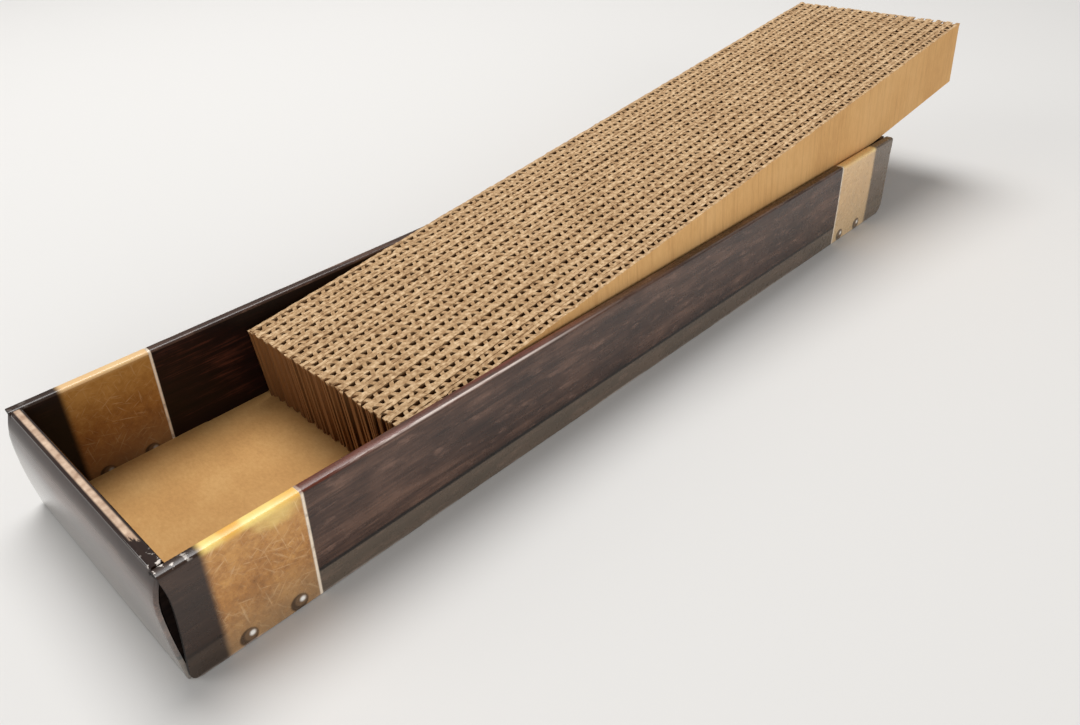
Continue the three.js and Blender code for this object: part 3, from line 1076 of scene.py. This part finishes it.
def padStrip(nodeName, number, finishes):
    draw = random.Random(number * pad["seedStep"] + pad["firstSeed"])
    low, high = (corner.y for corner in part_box(nodeName))
    nextLiner = high + pad["stripGap"]
    shape = bmesh.new()
    isFirst, isLast = number == 0, nodeName == "pad_cover_liner"

    def isOuterFace(face):
        y = face.calc_center_median().y
        nearSide = isFirst and y < low + pad["linerPaper"] / 2
        farSide = isLast and y > low + pad["coverPaper"] / 2
        return (nearSide or farSide) and abs(face.normal.y) > pad["faceTilt"]

    nearLiner = standingSheet(shape, pad["linerSteps"], low)
    trimUnevenly(nearLiner, draw, number + 0.5)
    givePaper(shape, nearLiner, pad["coverPaper"] if isLast else pad["linerPaper"])
    if not isLast:
        farLow = nextLiner - pad["seam"] - pad["linerPaper"]
        farLiner = standingSheet(shape, pad["linerSteps"], farLow)
        trimUnevenly(farLiner, draw, number + 0.25)
        givePaper(shape, farLiner, pad["linerPaper"])
        frayLiners(shape, low + pad["linerPaper"], farLow)
        wave = standingSheet(shape, pad["flutes"] * pad["stepsPerFlute"], low)
        valley = low + pad["linerPaper"] + pad["glue"]
        crest = farLow - pad["flutePaper"] - pad["glue"]
        phase = number * pad["phaseStep"] + draw.uniform(-1, 1) * pad["phaseSpread"]
        fluteWave(wave, valley, crest, number, phase)
        trimUnevenly(wave, draw, number)
        givePaper(shape, wave, pad["flutePaper"], cutFinish=fluteCut)
    flareCutEdges(shape)
    for vert in shape.verts:
        vert.co.x = min(max(vert.co.x, 0.0), pad["length"])
    shape.normal_update()
    for face in shape.faces:
        if isOuterFace(face):
            face.material_index = outerFace
        elif abs(face.normal.z) < pad["cutTilt"]:
            face.material_index = insideSheet
    bmesh.ops.transform(shape, matrix=padPlace, verts=shape.verts)
    pieceName = nodeName.replace("pad_", "corrugated_")
    makePiece(pieceName, shape, "pad", finishes, [nodeName])


paper = paperFinishes()
stripNames = sorted(name for name in frame["nodes"] if name.startswith("pad_strip_"))
for number, nodeName in enumerate(stripNames):
    padStrip(nodeName, number, paper)
padStrip("pad_cover_liner", len(stripNames), paper)
print("pad glued up from", len(stripNames), "strips")


# Pale floor, soft light and the photograph's camera
studio = {
    "floorSize": 8.0,
    "floorDrop": 0.0003,
    "floorColour": tone(226, 224, 221),
    "floorRough": 0.9,
    "skyColour": tone(255, 255, 255),
    "skyStrength": 0.24,
}
lamps = {
    "overhead": {"direction": (0.15, 0.35, 0.9), "distance": 2.2, "size": 1.5, "power": 40.0},
    "frontFill": {"direction": (-0.45, -0.85, 0.27), "distance": 2.4, "size": 1.5, "power": 26.0},
    "leftFill": {"direction": (-0.8, 0.45, 0.4), "distance": 2.4, "size": 1.5, "power": 13.0},
}
shot = {
    "imageWidth": 1080,
    "imageHeight": 725,
    "azimuth": -42.41,
    "elevation": 31.27,
    "roll": -3.27,
    "distance": 0.4724,
    "slideRight": -0.0332,
    "slideUp": 0.0012,
    "focalPixels": 905.3,
    "axisPixel": (484.3, 323.5),
    "sensor": 36.0,
    "clipStart": 0.01,
}


def makeFloor():
    shape = bmesh.new()
    bmesh.ops.create_grid(shape, x_segments=1, y_segments=1, size=studio["floorSize"] / 2)
    bmesh.ops.translate(shape, vec=(0, 0, -studio["floorDrop"]), verts=shape.verts)
    mesh = bpy.data.meshes.new("studioFloor")
    shape.to_mesh(mesh)
    shape.free()
    finish = Finish("studioFloor")
    mesh.materials.append(finish.done(studio["floorColour"], studio["floorRough"]))
    floor = bpy.data.objects.new("studioFloor", mesh)
    scene.collection.objects.link(floor)


def makeLamp(name, lamp):
    data = bpy.data.lights.new(name, "AREA")
    data.shape = "DISK"
    data.size = lamp["size"]
    data.energy = lamp["power"]
    light = bpy.data.objects.new(name, data)
    direction = Vector(lamp["direction"]).normalized()
    light.location = direction * lamp["distance"]
    light.rotation_euler = direction.to_track_quat("Z", "Y").to_euler()
    scene.collection.objects.link(light)


def makeSky():
    world = bpy.data.worlds.new("studioSky")
    world.use_nodes = True
    background = world.node_tree.nodes["Background"]
    background.inputs["Color"].default_value = studio["skyColour"]
    background.inputs["Strength"].default_value = studio["skyStrength"]
    scene.world = world


def makeCamera():
    azimuth, elevation, roll = (math.radians(shot[key]) for key in ("azimuth", "elevation", "roll"))
    back = Vector((math.sin(azimuth) * math.cos(elevation), -math.cos(azimuth) * math.cos(elevation),
                   math.sin(elevation)))
    level = Vector((0, 0, 1)).cross(back).normalized()
    upright = back.cross(level)
    right = math.cos(roll) * level + math.sin(roll) * upright
    up = math.cos(roll) * upright - math.sin(roll) * level
    data = bpy.data.cameras.new("photoCamera")
    data.sensor_width = shot["sensor"]
    data.lens = shot["focalPixels"] / shot["imageWidth"] * shot["sensor"]
    data.shift_x = (shot["imageWidth"] / 2 - shot["axisPixel"][0]) / shot["imageWidth"]
    data.shift_y = (shot["axisPixel"][1] - shot["imageHeight"] / 2) / shot["imageWidth"]
    data.clip_start = shot["clipStart"]
    camera = bpy.data.objects.new("photoCamera", data)
    turn = Matrix((right, up, back)).transposed().to_4x4()
    place = back * shot["distance"] + right * shot["slideRight"] + up * shot["slideUp"]
    camera.matrix_world = Matrix.Translation(place) @ turn
    scene.collection.objects.link(camera)
    scene.camera = camera


makeFloor()
makeSky()
for lampName, lamp in lamps.items():
    makeLamp(lampName, lamp)
makeCamera()
print("studio lit")
